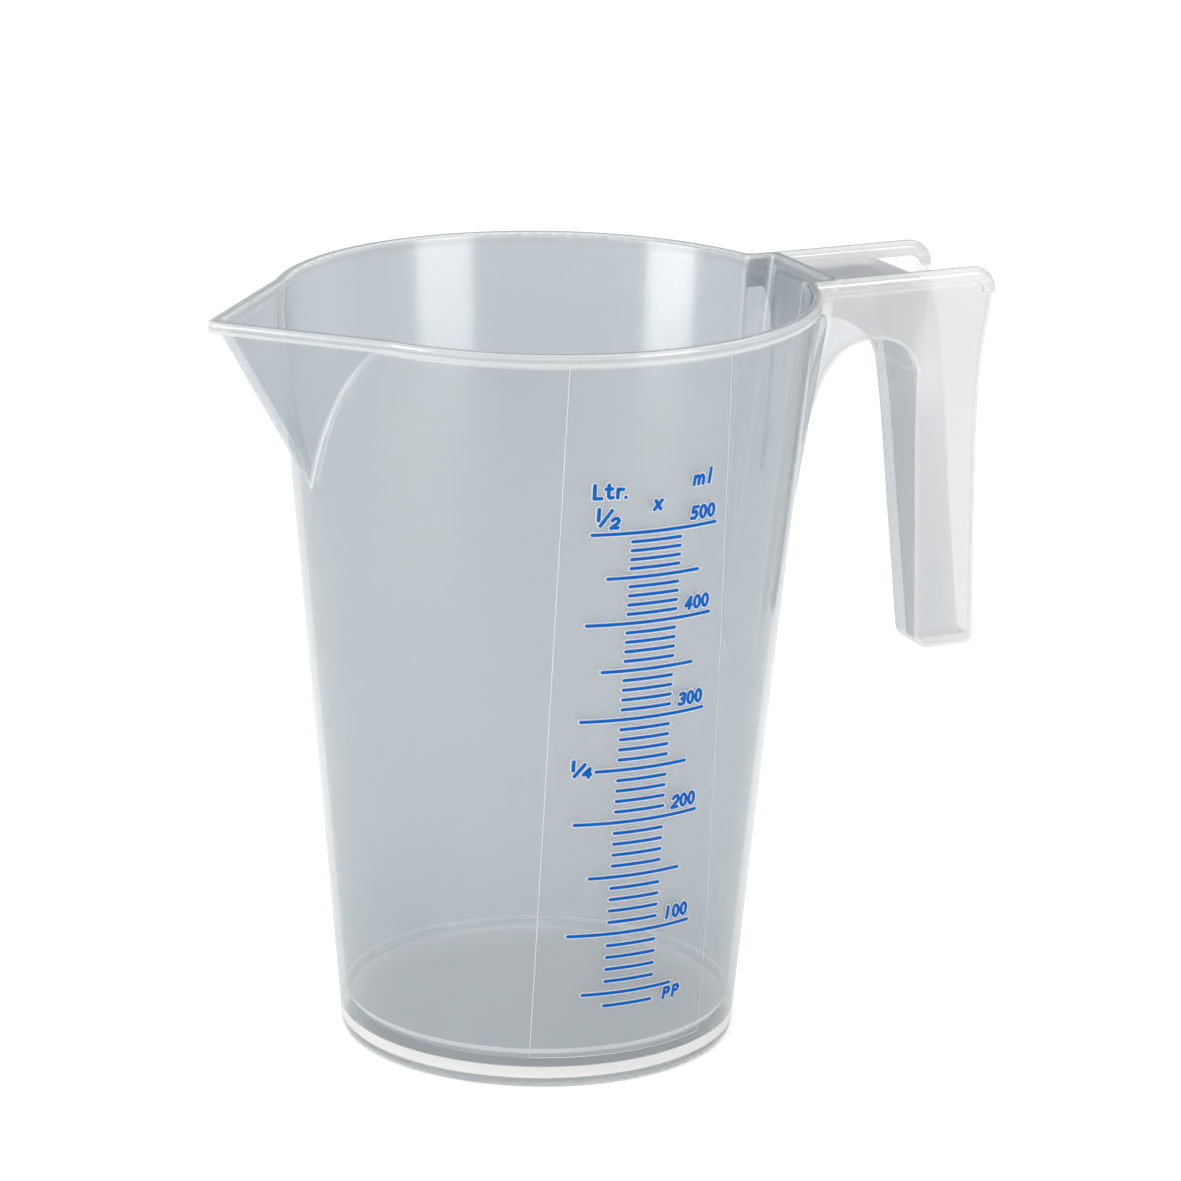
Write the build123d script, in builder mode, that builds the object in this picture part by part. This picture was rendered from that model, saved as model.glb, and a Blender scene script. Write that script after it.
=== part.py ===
"""Half-litre measuring jug: a conical translucent vessel with a V spout, an open hook handle and a printed
scale. Millimetres, +Z up. The origin is on the vessel's axis at the plane it stands on; the handle points
along +X, the spout along -X and the scale faces -Y."""

from build123d import *
from functools import partial
from math import atan2, cbrt, degrees, pi, radians, sin, tan
import os

os.makedirs("parts", exist_ok=True)

# Vessel
height = 138.2
base_radius = 36.1
top_radius = 48.6
wall = 1.4
floor_top = 4.4
foot_recess = 1.5
foot_ring_width = 2.2
floor_corner_radius = 2.5
foot_corner_radius = 0.8

# Rim bead that runs round the mouth
bead_proud = 0.65
bead_height = 2.0
rim_corner_radius = 0.55

# Spout: two flat facets that meet in a keel
spout_half_angle = 47.5
spout_keel_x = -63.95
spout_foot_x = -45.7
spout_foot_z = 106.2
spout_tip_radius = 2.0
spout_foot_radius = 0.6
spout_wing_x = -36.0
spout_root_radius = 5.0

# Flat-backed bay in the wall behind the handle
bay_top_x = 52.8
bay_foot_z = 59.7
bay_shoulder_z = 67.0
bay_half_width = 12.4
bay_foot_half_width = 8.7
bay_foot_corner_radius = 5.0
bay_corner_radius = 2.2
bay_root_radius = 1.5
bay_inner_x = 25.0
block_root = 5.0

# Handle: two flanges joined by a web that turns down into the grip
flange_thickness = 1.5
web_thickness = 1.5
web_drop = 2.0
grip_inner_x = 76.1
grip_bottom_z = 63.0
grip_lean = 0.078
grip_outer_x = 88.6
grip_waist = (85.5, 115.0)
handle_outer_x = 85.4
rail_sink = 0.5
handle_corner_radius = 4.8
grip_inner_corner_radius = 3.5
grip_outer_corner_radius = 1.2
rail_half_spacing = 12.0
rail_width = 2.6
rail_height = 3.0
rail_round = 1.1
handle_overlap_x = 40.0
fin_foot = (46.9, 98.0)
arch_points = [
    (72.05, 117.5),
    (70.0, 121.9),
    (66.0, 124.8),
    (61.0, 125.8),
    (56.5, 124.6),
    (53.4, 121.2),
    (51.6, 116.5),
]
# Half width of the handle across its flanges, at each height
handle_half_widths = [
    (62.0, 3.5),
    (70.0, 4.0),
    (93.0, 5.7),
    (114.0, 7.5),
    (125.0, 9.9),
    (133.0, 12.3),
    (138.2, 12.7),
]

# Scale
scale_zero_z = 5.6
scale_wall = 1.3
ten_ml_arc = 4.95
fifty_ml_arc = 9.05
hundred_ml_arc = 12.35
line_width = 0.6
pen_width = 0.64
relief_margin = 0.2
relief_height = 0.2
ink_thickness = 0.05
numeral_height = 2.1
numeral_width = 1.15
numeral_pitch = 1.78
numeral_right_x = 11.3
numeral_gap = 1.0
slant = 0.12

# Signs beside the scale: text, left, bottom, cell width and height, pitch, slant
signs = {
    "ink_millilitre_sign": [("m", 6.7, 113.1, (1.9, 2.5), 0, slant), ("l", 9.6, 113.1, (1.0, 2.3), 0, slant)],
    "ink_litre_sign": [("Ltr", -11.9, 112.2, (1.35, 2.4), 1.95, 0), (".", -6.4, 112.2, (1.0, 1.0), 0, 0)],
    "ink_half_litre_sign": [
        ("1", -11.4, 108.2, (1.0, 2.0), 0, 0),
        ("/", -10.6, 107.2, (1.9, 2.7), 0, 0),
        ("2", -8.7, 106.7, (1.2, 1.7), 0, slant),
    ],
    "ink_quarter_litre_sign": [
        ("1", -13.1, 61.6, (1.0, 1.7), 0, 0),
        ("/", -12.4, 60.5, (1.7, 2.2), 0, 0),
        ("4", -10.9, 60.3, (1.2, 1.6), 0, slant),
    ],
    "ink_cross_mark": [("x", -0.95, 109.5, (1.2, 1.6), 0, slant)],
    "ink_material_sign": [("PP", 7.5, 15.1, (1.2, 1.9), 2.1, slant)],
}

# Blank marks moulded under the floor
floor_mark_height = 0.25
floor_ring_radius = 5.6
floor_ring_width = 0.9
floor_plate_centre = (-18.3, -1.2)
floor_plate_size = (7.6, 7.6)

# Fine raised line that the mould's scale insert leaves: arc and height at each turn
panel_left = [(-17.5, 5.8), (-17.5, 70.0), (-17.5, 135.9)]
panel_right = [(17.5, 5.8), (17.5, 32.0), (15.9, 77.0), (15.3, 90.0), (13.4, 135.9)]
panel_line_width = 0.12
panel_line_proud = 0.05

wall_slope = (top_radius - base_radius) / height
spout_lean = (spout_foot_x - spout_keel_x) / (height - spout_foot_z)
bay_lean = (bay_top_x - base_radius - wall_slope * bay_foot_z) / (height - bay_foot_z)


def outer_radius(z):
    """Outside radius of the conical wall at a height."""
    return base_radius + wall_slope * z


def scale_height(millilitres):
    """Height at which the vessel holds a volume."""
    start = outer_radius(scale_zero_z) - scale_wall
    filled = start**3 + 3 * wall_slope * millilitres * 1000 / pi
    return scale_zero_z + (cbrt(filled) - start) / wall_slope


def chord(arc, z):
    """Half width, seen square on, of a line that reaches an arc length to each side."""
    return outer_radius(z) * sin(arc / outer_radius(z))


def cone_block(inset, bottom, top):
    """Solid cone of the wall's slope, moved in by an inset."""
    with BuildPart() as block:
        with BuildSketch(Plane.XZ):
            with BuildLine():
                Polyline(
                    (0, bottom),
                    (outer_radius(bottom) - inset, bottom),
                    (outer_radius(top) - inset, top),
                    (0, top),
                    close=True,
                )
            make_face()
        revolve(axis=Axis.Z)
    return block.part


def spout_section(inset, z, radius):
    """Adds the spout's rounded V at a height to the active sketch."""
    keel = spout_keel_x + spout_lean * (height - z)
    sharp = keel + radius + (inset - radius) / sin(radians(spout_half_angle))
    wing = (spout_wing_x - sharp) * tan(radians(spout_half_angle))
    with BuildSketch(mode=Mode.PRIVATE) as section:
        with BuildLine():
            Polyline((spout_wing_x, wing), (sharp, 0), (spout_wing_x, -wing), close=True)
        make_face()
        fillet(section.vertices().sort_by(Axis.X)[0], radius)
    add(section.sketch)


def spout_block(inset, top):
    """Solid wedge of the spout: a rounded V that widens from the keel's foot to the rim."""
    with BuildPart() as block:
        for z, radius in ((spout_foot_z - block_root, spout_foot_radius), (top, spout_tip_radius)):
            with BuildSketch(Plane.XY.offset(z)):
                spout_section(inset, z, radius)
        loft(ruled=True)
    return block.part


def bay_block(inset, top):
    """Solid of the flat-backed bay, with its rounded V foot."""
    with BuildPart() as block:
        with BuildSketch(Plane.XZ):
            with BuildLine():
                low = bay_foot_z - block_root
                Polyline(
                    (bay_inner_x, low),
                    (bay_top_x - inset - bay_lean * (height - low), low),
                    (bay_top_x - inset - bay_lean * (height - top), top),
                    (bay_inner_x, top),
                    close=True,
                )
            make_face()
        extrude(amount=2 * bay_half_width, both=True)
        with BuildSketch(Plane.YZ) as outline:
            with BuildLine():
                Polyline(
                    (bay_half_width - inset, top),
                    (bay_foot_half_width - inset, bay_shoulder_z),
                    (0, bay_foot_z),
                    (inset - bay_foot_half_width, bay_shoulder_z),
                    (inset - bay_half_width, top),
                    close=True,
                )
            make_face()
            fillet(outline.vertices().sort_by(Axis.Y)[:3], bay_foot_corner_radius)
        extrude(amount=2 * bay_top_x, mode=Mode.INTERSECT)
        back = block.faces().sort_by(Axis.X)[-1]
        fillet(back.edges().sort_by(SortBy.LENGTH)[-2:], bay_corner_radius - inset)
    return block.part


def jug_block(inset, bottom, top):
    """Solid of the whole vessel shape: cone, spout and bay."""
    with BuildPart() as block:
        add(cone_block(inset, bottom, top))
        add(spout_block(inset, top))
        add(bay_block(inset, top))
    return block.part


def wall_skin(inner, outer):
    """Thin shell that follows the conical wall, between two distances proud of it."""
    with BuildPart() as shell:
        add(cone_block(-outer, 0, height))
        add(cone_block(-inner, 0, height), mode=Mode.SUBTRACT)
    return shell.part


def pen_stroke(points, width):
    """Adds one round-ended stroke along straight runs to the active sketch."""
    corners = [Vector(*point) for point in points]
    for start, end in zip(corners, corners[1:]):
        run = end - start
        with Locations(start + run / 2):
            SlotCenterToCenter(run.length, width, rotation=degrees(atan2(run.Y, run.X)))


# Letters and numerals as pen strokes in a cell one wide and one high
glyphs = {
    "1": [[(0.45, 0), (0.45, 1)]],
    "2": [[(0, 0.8), (0.3, 1), (0.75, 1), (1, 0.75), (0.85, 0.5), (0, 0), (1, 0)]],
    "3": [
        [(0, 0.92), (0.4, 1), (0.9, 0.88), (0.85, 0.6), (0.4, 0.52)],
        [(0.4, 0.52), (0.95, 0.42), (0.9, 0.1), (0.4, 0), (0, 0.1)],
    ],
    "4": [[(0.75, 0), (0.75, 1), (0, 0.3), (1, 0.3)]],
    "5": [[(0.95, 1), (0.15, 1), (0.1, 0.56), (0.7, 0.6), (0.95, 0.3), (0.7, 0.03), (0, 0.05)]],
    "m": [
        [(0, 0), (0, 0.6)],
        [(0, 0.5), (0.3, 0.62), (0.5, 0.45), (0.5, 0)],
        [(0.5, 0.5), (0.8, 0.62), (1, 0.45), (1, 0)],
    ],
    "l": [[(0.3, 0), (0.3, 1.1)]],
    "L": [[(0, 1), (0, 0), (0.9, 0)]],
    "t": [[(0.35, 1), (0.35, 0.15), (0.6, 0), (0.9, 0.05)], [(0, 0.7), (0.8, 0.7)]],
    "r": [[(0.1, 0), (0.1, 0.65)], [(0.1, 0.45), (0.4, 0.65), (0.8, 0.62)]],
    "P": [[(0, 0), (0, 1), (0.7, 1), (0.95, 0.75), (0.7, 0.5), (0, 0.5)]],
    "x": [[(0, 0), (1, 1)], [(0, 1), (1, 0)]],
    "/": [[(0, 0), (1, 1)]],
}


def glyph(character, corner, cell, lean, width):
    """Adds one letter or numeral to the active sketch, from its cell's lower left corner."""
    if character == "0":
        with Locations((corner[0] + cell[0] / 2 + lean * cell[1] / 2, corner[1] + cell[1] / 2)):
            Ellipse((cell[0] + width) / 2, (cell[1] + width) / 2)
            Ellipse((cell[0] - width) / 2, (cell[1] - width) / 2, mode=Mode.SUBTRACT)
        return
    if character == ".":
        with Locations(corner):
            Circle(width / 2)
        return
    left, bottom = corner
    wide, high = cell
    for stroke in glyphs[character]:
        pen_stroke([(left + wide * x + lean * high * y, bottom + high * y) for x, y in stroke], width)


def text_row(text, left, bottom, cell, pitch, lean, width):
    """Adds a row of letters or numerals to the active sketch."""
    for place, character in enumerate(text):
        glyph(character, (left + place * pitch, bottom), cell, lean, width)


def scale_lines(volumes, arc, margin):
    """Adds one round-ended scale line for each volume to the active sketch."""
    for volume in volumes:
        z = scale_height(volume)
        with Locations((0, z)):
            SlotOverall(2 * chord(arc, z) + 2 * margin, line_width + 2 * margin)


def ten_ml_lines(margin):
    scale_lines([v for v in range(40, 500, 10) if v % 50], ten_ml_arc, margin)


def fifty_ml_lines(margin):
    scale_lines(range(50, 500, 100), fifty_ml_arc, margin)


def hundred_ml_lines(margin):
    scale_lines(range(100, 600, 100), hundred_ml_arc, margin)


def numerals(margin):
    for volume in range(100, 600, 100):
        text_row(
            str(volume),
            numeral_right_x - 3 * numeral_pitch + (numeral_pitch - numeral_width),
            scale_height(volume) + numeral_gap + line_width / 2,
            (numeral_width, numeral_height),
            numeral_pitch,
            slant,
            pen_width + 2 * margin,
        )


def sign(rows, margin):
    """Adds one sign's rows of letters to the active sketch."""
    for text, left, bottom, cell, pitch, lean in rows:
        text_row(text, left, bottom, cell, pitch, lean, pen_width + 2 * margin)


def panel_outline(margin):
    """Adds the open outline of the scale insert to the active sketch: both sides and the bottom."""
    for side in (panel_left, panel_right):
        pen_stroke([(chord(arc, z), z) for arc, z in side], panel_line_width + 2 * margin)
    foot = [(chord(arc, z), z) for arc, z in (panel_left[0], panel_right[0])]
    pen_stroke(foot, panel_line_width + 2 * margin)


printed_marks = {
    "ink_10ml_lines": ten_ml_lines,
    "ink_50ml_lines": fifty_ml_lines,
    "ink_100ml_lines": hundred_ml_lines,
    "ink_numerals": numerals,
}
for name, rows in signs.items():
    printed_marks[name] = partial(sign, rows)


def wall_marks(draw, margin, inner, outer):
    """Marks drawn square on, wrapped on the wall's -Y side between two distances proud of it."""
    with BuildPart() as marks:
        with BuildSketch(Plane.XZ.offset(base_radius / 2)):
            draw(margin)
        extrude(amount=top_radius)
        add(wall_skin(inner, outer), mode=Mode.INTERSECT)
    return marks.part


def grip_face(z):
    """X of the grip's finger side at a height."""
    return grip_inner_x - grip_lean * (z - grip_bottom_z)


def front_block(inset):
    """Bar along +X with the handle's outline as seen along X, moved in by an inset."""
    with BuildPart() as block:
        with BuildSketch(Plane.YZ):
            with BuildLine():
                right = Spline([(half - inset, z) for z, half in handle_half_widths])
                left = Spline([(inset - half, z) for z, half in handle_half_widths])
                Line(right @ 0, left @ 0)
                Line(right @ 1, left @ 1)
            make_face()
        extrude(amount=2 * top_radius)
    return block.part


def handle_hollow():
    """Space between the flanges: the channel outside the web and the space inside it."""
    far_x = grip_outer_x + handle_overlap_x
    bridge_top = height - web_drop
    bridge_bottom = bridge_top - web_thickness
    plate_top = grip_bottom_z + web_thickness
    with BuildPart() as block:
        with BuildSketch(Plane.XZ):
            with BuildLine():
                Polyline(
                    (handle_overlap_x, bridge_top),
                    (grip_face(bridge_top) + web_thickness, bridge_top),
                    (grip_face(plate_top) + web_thickness, plate_top),
                    (far_x, plate_top),
                    (far_x, height),
                    (handle_overlap_x, height),
                    close=True,
                )
            make_face()
            with BuildLine():
                Polyline(
                    (handle_overlap_x, bridge_bottom),
                    (grip_face(bridge_bottom), bridge_bottom),
                    (grip_face(grip_bottom_z), grip_bottom_z),
                    (handle_overlap_x, grip_bottom_z),
                    close=True,
                )
            make_face()
        extrude(amount=2 * bay_half_width, both=True)
        add(front_block(flange_thickness), mode=Mode.INTERSECT)
    return block.part


# ---------------------------------------------------------------- vessel
jug_solid = jug_block(0, 0, height)
jug_cavity = jug_block(wall, floor_top, height)

with BuildPart() as envelope:
    add(jug_solid)
    fillet(envelope.faces().sort_by(Axis.Z)[0].edges(), foot_corner_radius)
    # Bead round the mouth
    with BuildSketch(Plane.XY.offset(height - bead_height)) as bead:
        Circle(top_radius + bead_proud)
        spout_section(-bead_proud, height, spout_tip_radius + bead_proud)
        with Locations((bay_top_x + bead_proud, 0)):
            RectangleRounded(
                2 * (bay_top_x - bay_inner_x),
                2 * (bay_half_width + bead_proud),
                bay_corner_radius + bead_proud,
                align=(Align.MAX, Align.CENTER),
            )
        fillet(bead.vertices().filter_by_position(Axis.X, -top_radius, 0), spout_root_radius)
        fillet(bead.vertices().filter_by_position(Axis.X, 0, top_radius), bay_root_radius)
    extrude(amount=bead_height)

with BuildPart() as vessel:
    add(envelope.part)
    # Foot ring: the underside is recessed inside a narrow standing edge
    with BuildSketch(Plane.XY):
        Circle(base_radius - foot_ring_width)
    extrude(amount=foot_recess, mode=Mode.SUBTRACT)
    # Blank marks on the underside of the floor
    with BuildSketch(Plane.XY.offset(foot_recess - floor_mark_height)):
        Circle(floor_ring_radius)
        Circle(floor_ring_radius - floor_ring_width, mode=Mode.SUBTRACT)
        with Locations(floor_plate_centre):
            Rectangle(*floor_plate_size)
    extrude(amount=floor_mark_height)
    add(jug_cavity, mode=Mode.SUBTRACT)
    fillet(vessel.faces().sort_by(Axis.Z)[-1].edges(), rim_corner_radius)
    level_faces = vessel.faces().filter_by(Axis.Z)
    floor = level_faces.filter_by_position(Axis.Z, floor_top - wall / 2, floor_top + wall / 2)[0]
    fillet(floor.edges(), floor_corner_radius)

# ---------------------------------------------------------------- handle
with BuildPart() as handle:
    flange_top = height - rail_sink
    corner_centre = (handle_outer_x - handle_corner_radius, height - handle_corner_radius)
    corner_start = (corner_centre[0], flange_top)
    corner_end = (handle_outer_x - rail_sink, corner_centre[1])
    with BuildSketch(Plane.XZ) as side:
        with BuildLine():
            Line((handle_overlap_x, flange_top), corner_start)
            RadiusArc(corner_start, corner_end, handle_corner_radius - rail_sink)
            Spline(corner_end, grip_waist, (grip_outer_x, grip_bottom_z))
            Line((grip_outer_x, grip_bottom_z), (grip_face(grip_bottom_z), grip_bottom_z))
            Line((grip_face(grip_bottom_z), grip_bottom_z), arch_points[0])
            Spline(*arch_points)
            fin_root = (handle_overlap_x, fin_foot[1])
            Polyline(arch_points[-1], fin_foot, fin_root, (handle_overlap_x, flange_top))
        make_face()
        fillet(side.vertices().group_by(Axis.Y)[0].sort_by(Axis.X)[0], grip_inner_corner_radius)
        fillet(side.vertices().group_by(Axis.Y)[0].sort_by(Axis.X)[-1], grip_outer_corner_radius)
    extrude(amount=2 * bay_half_width, both=True)
    add(front_block(0), mode=Mode.INTERSECT)
    add(handle_hollow(), mode=Mode.SUBTRACT)
    # Rounded rail along the top of each flange and over its outer corner
    for y in (-rail_half_spacing, rail_half_spacing):
        with BuildLine(Plane.XZ.offset(y)) as path:
            turn_start = (corner_centre[0], height - rail_height / 2)
            turn_end = (handle_outer_x - rail_height / 2, corner_centre[1])
            Line((handle_overlap_x, height - rail_height / 2), turn_start)
            RadiusArc(turn_start, turn_end, handle_corner_radius - rail_height / 2)
        with BuildSketch(Plane(origin=path.line @ 0, x_dir=(0, 1, 0), z_dir=(1, 0, 0))):
            RectangleRounded(rail_width, rail_height, rail_round)
        sweep(path=path.line)
    add(envelope.part, mode=Mode.SUBTRACT)

# ---------------------------------------------------------------- raised beds and insert line
with BuildPart() as scale_beds:
    for draw in printed_marks.values():
        add(wall_marks(draw, relief_margin, 0, relief_height))
    add(wall_marks(panel_outline, 0, 0, panel_line_proud))

vessel.part.label = "vessel"
export_step(vessel.part, "parts/vessel.step")
handle.part.label = "handle"
export_step(handle.part, "parts/handle.step")
scale_beds.part.label = "scale_beds"
export_step(scale_beds.part, "parts/scale_beds.step")
for name, draw in printed_marks.items():
    mark = wall_marks(draw, 0, relief_height, relief_height + ink_thickness)
    mark.label = name
    export_step(mark, f"parts/{name}.step")
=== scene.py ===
"""Looks of the half-litre measuring jug: translucent polypropylene, blue stamped scale, studio light."""

import math

import bpy
from mathutils import Matrix, Vector


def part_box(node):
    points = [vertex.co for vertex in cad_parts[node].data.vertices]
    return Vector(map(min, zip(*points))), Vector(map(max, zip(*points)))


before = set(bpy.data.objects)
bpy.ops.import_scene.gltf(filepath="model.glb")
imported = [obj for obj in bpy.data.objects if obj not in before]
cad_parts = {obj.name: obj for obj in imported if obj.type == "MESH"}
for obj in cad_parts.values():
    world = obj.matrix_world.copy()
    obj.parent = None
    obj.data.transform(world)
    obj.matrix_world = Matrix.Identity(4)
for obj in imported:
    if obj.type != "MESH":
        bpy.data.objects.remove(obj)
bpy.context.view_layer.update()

# Camera: where it stands round the jug's axis and where it points, in metres and degrees
CAMERA_DISTANCE = 0.9116
CAMERA_HEIGHT = 0.3511
CAMERA_AZIMUTH = 25.6
CAMERA_PITCH = 16.425
CAMERA_YAW = 0.548
CAMERA_ROLL = 1.001
CAMERA_CLIP_START = 0.01
# Lens and sensor, in millimetres
CAMERA_LENS = 159.5
SENSOR_WIDTH = 36.0

# The cone of the jug: its height from the frame, and the outside radii at its foot and mouth, in metres
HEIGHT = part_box("vessel")[1].z
BASE_RADIUS = 0.0361
TOP_RADIUS = 0.0486
ABOVE_RIM = HEIGHT + 0.01

# Where the moulding is thick and looks white, and where light is painted white onto the floor: lowest and
# highest height, whiteness, how far it covers what is behind it, and whether it is only on the inner faces
VESSEL_BANDS = [
    (HEIGHT - 0.0021, ABOVE_RIM, 0.2, 1.0, False),  # bead of the rim
    (0.0017, 0.0040, 0.75, 1.0, False),  # slab of the floor, from the side
    (0.0009, 0.00135, 1.0, 1.0, True),  # inside of the standing ring, and the blank marks
    # Painted light: the top of the floor is painted white, lifting it out of its shade
    (0.0040, 0.0050, 1.0, 0.9, True),  # top of the floor
    # Painted light: a white ring painted in the crease where the floor's rounded corner meets the wall
    (0.0060, 0.0070, 1.0, 0.9, True),  # where the floor's rounded corner meets the wall
]
HANDLE_BANDS = [(HEIGHT - 0.003, ABOVE_RIM, 0.2, 1.0, False)]  # rails along the top
BAND_BLEND = 0.0002
# How far below the outside of the cone a face begins to count as an inner one, and counts in full
INNER_DEPTH = (0.0004, 0.0009)

# Painted edge light, white painted into the edges and creases where light gathers: the radius that is
# searched for one, in metres, and the cosines of the turn at which the painted light begins and is full
EDGE_RADIUS = 0.0014
EDGE_SAMPLES = 4
EDGE_TURN = (0.997, 0.955)

# One surface of the plastic: haze is the share of light that it scatters, the next value how strongly light
# is painted white into its edges and creases
WALL = {"haze": 0.27, "painted_edge_light": 0.7, "tint": (0.37, 0.405, 0.43)}
HANDLE = {"haze": 0.34, "painted_edge_light": 0.45, "tint": (0.6, 0.605, 0.605)}
BED_HAZE = 0.6
BED_TINT = (0.7, 0.71, 0.72)
# Haze where the cover is full: in the thick mouldings, and in the painted edge light and painted floor light
SOLID_HAZE = 0.92
SCATTERED_THROUGH = 0.35
CLEAR_TINT = (0.83, 0.855, 0.875, 1)
# White of the thick mouldings, also used as painted light in the edges, creases and floor
WHITE_OF_THICK_AND_PAINTED_LIGHT = (0.9, 0.9, 0.89, 1)
GLOSS_HEAD_ON = 0.065
GLOSS_ROUGHNESS = 0.15
SCHLICK_POWER = 5.0

# Flow marks of the moulding: a stretch under 1 draws the noise out upwards, the contrast is how much lighter
# the lightest marks are, and the bump's height is in metres
FLOW_SCALE = 110.0
FLOW_STRETCH = 0.12
FLOW_CONTRAST = 1.06
FLOW_BUMP = 0.02
FLOW_BUMP_HEIGHT = 0.0002

# Blue of the print, from its thickest cover to its thinnest, and its fine bumps
INK_DEEP = (0.0, 0.06, 0.27, 1)
INK_THIN = (0.0, 0.076, 0.33, 1)
INK_BLOTCH_SCALE = 1400.0
INK_BUMP = 0.15
INK_BUMP_HEIGHT = 0.00005
INK_ROUGHNESS = 0.6
INK_SPECULAR = 0.05

# Set: half the floor's side and how far it lies below the jug, in metres, then its shade and the room's
FLOOR_HALF = 6.0
FLOOR_DROP = 0.0002
FLOOR_SHADE = (0.9, 0.9, 0.9, 1)
ROOM_COLOUR = (0.95, 0.98, 1.0, 1)
ROOM_LIGHT = 0.2
NEUTRAL = (1, 1, 1)
WARM = (1.0, 0.94, 0.88)
# Soft boxes: place and aim as right, away and up seen from the camera, width and height, watts and colour
SOFT_BOXES = {
    "overhead": ((0, 0.2, 2.2), (0, 0.2, 0), (4.6, 4.6), 118, NEUTRAL),
    "strip_left": ((-0.44, -0.26, 0.18), (0, 0, 0.18), (0.22, 0.22), 2.6, WARM),
    "strip_right": ((0.39, -0.34, 0.18), (0, 0, 0.18), (0.25, 0.22), 2.3, WARM),
}


# ------------------------------------------------------------------ node helpers
class Nodes:
    """Adds and joins the shader nodes of one material."""

    def __init__(self, name):
        self.material = bpy.data.materials.new(name)
        self.material.use_nodes = True
        self.tree = self.material.node_tree
        self.tree.nodes.clear()

    def add(self, kind, **inputs):
        """New node, with its inputs set or linked by name; an underscore stands for a space."""
        node = self.tree.nodes.new(kind)
        for name, value in inputs.items():
            self.set(node.inputs[name.replace("_", " ")], value)
        return node

    def set(self, socket, value):
        """Links another node's output, or sets a plain value."""
        if isinstance(value, bpy.types.NodeSocket):
            self.tree.links.new(value, socket)
        else:
            socket.default_value = value

    def math(self, operation, first, second):
        node = self.tree.nodes.new("ShaderNodeMath")
        node.operation = operation
        self.set(node.inputs[0], first)
        self.set(node.inputs[1], second)
        return node.outputs[0]

    def vector(self, operation, *values):
        node = self.tree.nodes.new("ShaderNodeVectorMath")
        node.operation = operation
        for socket, value in zip(node.inputs, values):
            self.set(socket, value)
        return node

    def ramp(self, value, low, high):
        """Smooth step of a value from 0 at low to 1 at high."""
        node = self.tree.nodes.new("ShaderNodeMapRange")
        node.interpolation_type = "SMOOTHSTEP"
        self.set(node.inputs["Value"], value)
        node.inputs["From Min"].default_value = low
        node.inputs["From Max"].default_value = high
        return node.outputs["Result"]

    def mix(self, factor, first, second):
        node = self.tree.nodes.new("ShaderNodeMixShader")
        self.set(node.inputs[0], factor)
        self.set(node.inputs[1], first)
        self.set(node.inputs[2], second)
        return node.outputs[0]

    def mix_colour(self, factor, first, second):
        node = self.tree.nodes.new("ShaderNodeMix")
        node.data_type = "RGBA"
        self.set(node.inputs["Factor"], factor)
        self.set(node.inputs["A"], first)
        self.set(node.inputs["B"], second)
        return node.outputs["Result"]

    def finish(self, shader):
        output = self.tree.nodes.new("ShaderNodeOutputMaterial")
        self.set(output.inputs["Surface"], shader)
        return self.material


# ------------------------------------------------------------------ polypropylene
def flow_marks(n, place):
    """Faint flow marks of the moulding, drawn out along the wall."""
    stretched = n.add("ShaderNodeMapping", Vector=place)
    stretched.inputs["Scale"].default_value = (1.0, 1.0, FLOW_STRETCH)
    noise = n.add("ShaderNodeTexNoise", Vector=stretched.outputs[0], Scale=FLOW_SCALE, Detail=1.0)
    return noise.outputs["Fac"]


def clouded(n, flow, tint):
    """The plastic's own colour, a little lighter and darker along the flow marks."""
    light_tint = tuple(value * FLOW_CONTRAST for value in tint)
    return n.mix_colour(flow, (*tint, 1), (*light_tint, 1))


def glossy_sheet(n, colour, haze, flow):
    """One surface of a thin wall: its haze scatters light, the rest lets it through, under a soft gloss."""
    diffuse = n.add("ShaderNodeBsdfDiffuse", Color=colour)
    through = n.add("ShaderNodeBsdfTranslucent", Color=colour)
    milk = n.mix(SCATTERED_THROUGH, diffuse.outputs[0], through.outputs[0])
    clear = n.add("ShaderNodeBsdfTransparent", Color=CLEAR_TINT)
    sheet = n.mix(haze, clear.outputs[0], milk)
    skin = n.add("ShaderNodeBump", Strength=FLOW_BUMP, Distance=FLOW_BUMP_HEIGHT, Height=flow)
    gloss = n.add("ShaderNodeBsdfGlossy", Roughness=GLOSS_ROUGHNESS, Normal=skin.outputs[0])
    # Schlick's rule, the same from both sides of a face, because the rays aren't bent by the wall
    facing = n.add("ShaderNodeLayerWeight", Blend=0.5).outputs["Facing"]
    grazing = n.math("MULTIPLY", n.math("POWER", facing, SCHLICK_POWER), 1.0 - GLOSS_HEAD_ON)
    return n.mix(n.math("ADD", grazing, GLOSS_HEAD_ON), sheet, gloss.outputs[0])


def inner_faces(n, place, z):
    """1 on faces well inside the cone, such as the cavity and the floor, and 0 on its outside."""
    flat = n.vector("MULTIPLY", place, (1.0, 1.0, 0.0))
    radius = n.vector("LENGTH", flat.outputs["Vector"]).outputs["Value"]
    outside = n.math("ADD", n.math("MULTIPLY", z, (TOP_RADIUS - BASE_RADIUS) / HEIGHT), BASE_RADIUS)
    return n.ramp(n.math("SUBTRACT", outside, radius), *INNER_DEPTH)


# Mask for painted edge light: white is painted where light gathers in edges and creases
def edge_light(n):
    """1 in the sharp edges and creases of the moulding, where light gathers, 0 on its smooth faces."""
    rounded = n.add("ShaderNodeBevel", Radius=EDGE_RADIUS)
    rounded.samples = EDGE_SAMPLES
    plain_normal = n.add("ShaderNodeNewGeometry").outputs["Normal"]
    along = n.vector("DOT_PRODUCT", rounded.outputs[0], plain_normal)
    return n.ramp(along.outputs["Value"], *EDGE_TURN)


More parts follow.
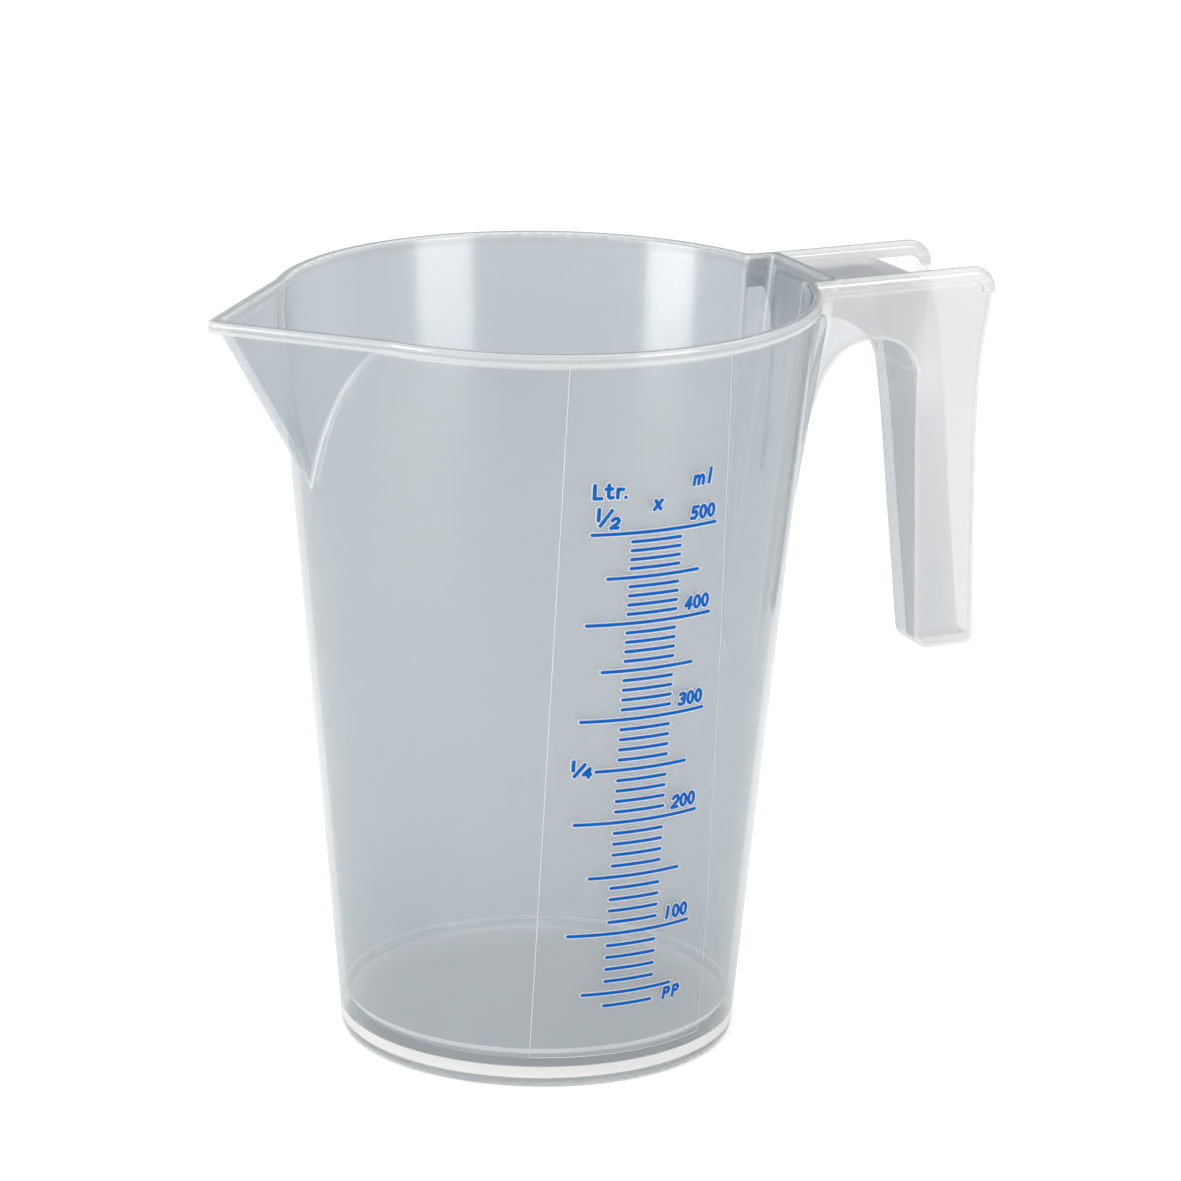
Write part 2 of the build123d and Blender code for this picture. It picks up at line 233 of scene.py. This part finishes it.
def polypropylene(name, thick_and_painted_light_bands, haze, painted_edge_light, tint):
    """Milky, slightly glossy plastic, whiter and less clear where the moulding is thicker, with light painted
    white into its edges, creases and floor.
    """
    n = Nodes(name)
    place = n.add("ShaderNodeTexCoord").outputs["Object"]
    z = n.add("ShaderNodeSeparateXYZ", Vector=place).outputs["Z"]
    flow = flow_marks(n, place)
    inner = inner_faces(n, place, z)
    # Painted light: the edge mask paints white light into edges and creases, and the bands add the thick
    # mouldings and the painted floor light
    thick_and_painted_light = cover_thick_and_painted_light = n.math("MULTIPLY", edge_light(n), painted_edge_light)
    for low, high, whiteness, cover, inner_only in thick_and_painted_light_bands:
        rise = n.ramp(z, low - BAND_BLEND, low + BAND_BLEND)
        fall = n.ramp(z, high + BAND_BLEND, high - BAND_BLEND)
        band = n.math("MULTIPLY", n.math("MULTIPLY", rise, fall), whiteness)
        if inner_only:
            band = n.math("MULTIPLY", band, inner)
        thick_and_painted_light = n.math("MAXIMUM", thick_and_painted_light, band)
        cover_thick_and_painted_light = n.math("MAXIMUM", cover_thick_and_painted_light, n.math("MULTIPLY", band, cover))
    colour = n.mix_colour(thick_and_painted_light, clouded(n, flow, tint), WHITE_OF_THICK_AND_PAINTED_LIGHT)
    clouding = n.math("ADD", n.math("MULTIPLY", cover_thick_and_painted_light, SOLID_HAZE - haze), haze)
    return n.finish(glossy_sheet(n, colour, clouding, flow))


def bed_plastic(name):
    """The same plastic on the raised beds under the print: even, and milkier than the wall."""
    n = Nodes(name)
    flow = flow_marks(n, n.add("ShaderNodeTexCoord").outputs["Object"])
    return n.finish(glossy_sheet(n, clouded(n, flow, BED_TINT), BED_HAZE, flow))


# ------------------------------------------------------------------ print
def ink(name):
    """Matte blue stamped foil with a slightly uneven cover."""
    n = Nodes(name)
    place = n.add("ShaderNodeTexCoord").outputs["Object"]
    noise = n.add("ShaderNodeTexNoise", Vector=place, Scale=INK_BLOTCH_SCALE, Detail=3.0)
    blotch = noise.outputs["Fac"]
    colour = n.mix_colour(blotch, INK_DEEP, INK_THIN)
    skin = n.add("ShaderNodeBump", Strength=INK_BUMP, Distance=INK_BUMP_HEIGHT, Height=blotch).outputs[0]
    paint = n.add("ShaderNodeBsdfPrincipled", Base_Color=colour, Roughness=INK_ROUGHNESS, Normal=skin)
    paint.inputs["Specular IOR Level"].default_value = INK_SPECULAR
    return n.finish(paint.outputs[0])


def dress(node, material):
    """Gives a whole CAD node one material."""
    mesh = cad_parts[node].data
    mesh.materials.clear()
    mesh.materials.append(material)
    for face in mesh.polygons:
        face.material_index = 0


blue = ink("scale_ink")
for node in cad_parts:
    if node.startswith("ink_"):
        dress(node, blue)
dress("vessel", polypropylene("polypropylene_wall", VESSEL_BANDS, **WALL))
dress("handle", polypropylene("polypropylene_handle", HANDLE_BANDS, **HANDLE))
dress("scale_beds", bed_plastic("polypropylene_beds"))


# ------------------------------------------------------------------ floor, light, camera
def add_floor():
    corners = [(x * FLOOR_HALF, y * FLOOR_HALF, 0) for x, y in ((-1, -1), (1, -1), (1, 1), (-1, 1))]
    mesh = bpy.data.meshes.new("floor")
    mesh.from_pydata(corners, [], [(0, 1, 2, 3)])
    floor = bpy.data.objects.new("floor", mesh)
    bpy.context.scene.collection.objects.link(floor)
    n = Nodes("floor")
    matte = n.add("ShaderNodeBsdfDiffuse", Color=FLOOR_SHADE)
    mesh.materials.append(n.finish(matte.outputs[0]))
    floor.location.z = -FLOOR_DROP


def rig(place):
    """A place given from the camera's side of the jug, as a place in the jug's own frame."""
    return Matrix.Rotation(math.radians(-CAMERA_AZIMUTH), 4, "Z") @ Vector(place)


def add_soft_box(name, place, aim, size, power, colour):
    light = bpy.data.lights.new(name, "AREA")
    light.shape = "RECTANGLE"
    light.size, light.size_y = size
    light.energy = power
    light.color = colour
    lamp = bpy.data.objects.new(name, light)
    lamp.location = rig(place)
    lamp.rotation_mode = "QUATERNION"
    lamp.rotation_quaternion = (rig(aim) - rig(place)).to_track_quat("-Z", "Y")
    lamp.visible_camera = False
    bpy.context.scene.collection.objects.link(lamp)


def add_world():
    """Even, dim room round the set."""
    world = bpy.data.worlds.new("studio")
    world.use_nodes = True
    room = world.node_tree.nodes["Background"]
    room.inputs["Color"].default_value = ROOM_COLOUR
    room.inputs["Strength"].default_value = ROOM_LIGHT
    bpy.context.scene.world = world


def camera_frame():
    """The camera's turn matrix: columns right, up and back."""
    pitch, yaw, roll = (math.radians(v) for v in (CAMERA_PITCH, CAMERA_YAW, CAMERA_ROLL))
    ahead = Vector((math.sin(yaw) * math.cos(pitch), math.cos(yaw) * math.cos(pitch), -math.sin(pitch)))
    right = ahead.cross(Vector((0, 0, 1))).normalized()
    up = right.cross(ahead)
    turned_right = math.cos(roll) * right + math.sin(roll) * up
    turned_up = math.cos(roll) * up - math.sin(roll) * right
    return Matrix((turned_right, turned_up, -ahead)).transposed().to_4x4()


def add_camera():
    data = bpy.data.cameras.new("camera")
    data.lens = CAMERA_LENS
    data.sensor_width = SENSOR_WIDTH
    data.clip_start = CAMERA_CLIP_START
    camera = bpy.data.objects.new("camera", data)
    stand = Matrix.Translation((0, -CAMERA_DISTANCE, CAMERA_HEIGHT)) @ camera_frame()
    camera.matrix_world = Matrix.Rotation(math.radians(-CAMERA_AZIMUTH), 4, "Z") @ stand
    bpy.context.scene.collection.objects.link(camera)
    bpy.context.scene.camera = camera


add_floor()
add_world()
for name, box in SOFT_BOXES.items():
    add_soft_box(name, *box)
add_camera()

# The jug is many clear faces deep, so light passes through it many times
scene = bpy.context.scene
scene.view_settings.view_transform = "Standard"
scene.cycles.transparent_max_bounces = 32
scene.cycles.max_bounces = 16
scene.cycles.sample_clamp_indirect = 2.5
